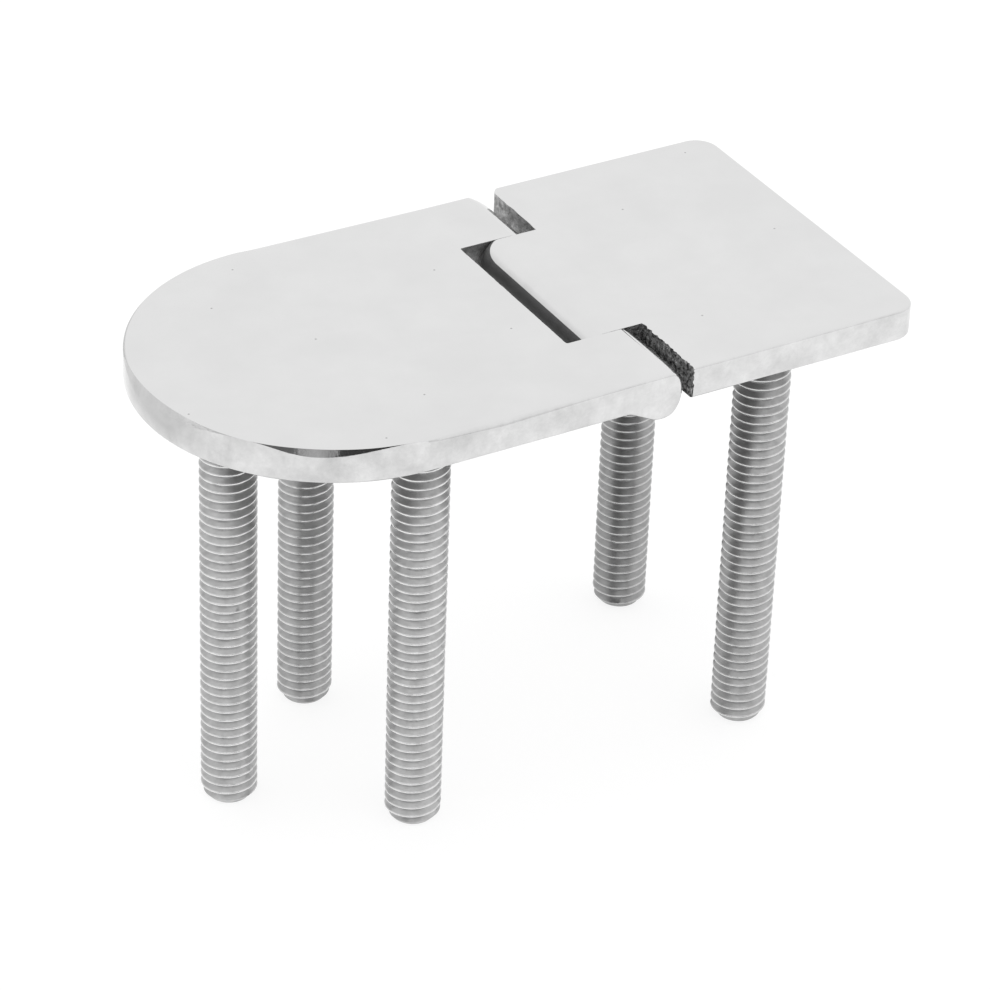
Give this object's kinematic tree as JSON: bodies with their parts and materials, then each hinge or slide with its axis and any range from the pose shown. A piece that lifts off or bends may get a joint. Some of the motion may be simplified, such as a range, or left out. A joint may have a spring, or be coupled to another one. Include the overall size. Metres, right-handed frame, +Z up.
{
  "type": "marine door hinge",
  "caption": "Flush marine door hinge: a round-nosed leaf and a square leaf of polished stainless steel fold on a hidden pin, and threaded studs underneath hold each leaf down.",
  "frame": {"origin": "on the seat plane that both undersides lie on, straight below the middle of the hinge pin", "axes": "+X from the pin towards the square leaf's far edge, +Y along the pin, +Z up out of the polished top faces"},
  "size_m": [0.0754, 0.04, 0.0499],
  "materials": {
    "polished_stainless": "cast stainless steel, mirror polished on top, left as cast in the slot and notches",
    "threaded_stainless": "rolled stainless thread, bright crests",
    "pin_steel": "ground stainless pin, ends dressed flush and polished with the leaf"
  },
  "bodies": {
    "round_leaf_body": {"round_leaf": "polished_stainless", "hinge_pin": "pin_steel", "stud_nose": "threaded_stainless", "stud_round_front": "threaded_stainless", "stud_round_rear": "threaded_stainless"},
    "square_leaf_body": {"square_leaf": "polished_stainless", "stud_square_front": "threaded_stainless", "stud_square_rear": "threaded_stainless"}
  },
  "joints": [
    {"name": "leaf_fold", "type": "hinge", "parent": "round_leaf_body", "child": "square_leaf_body", "pos_m": [0, 0, 0.00095], "axis": [0, -1, 0], "range_deg": [-38, 110]}
  ]
}
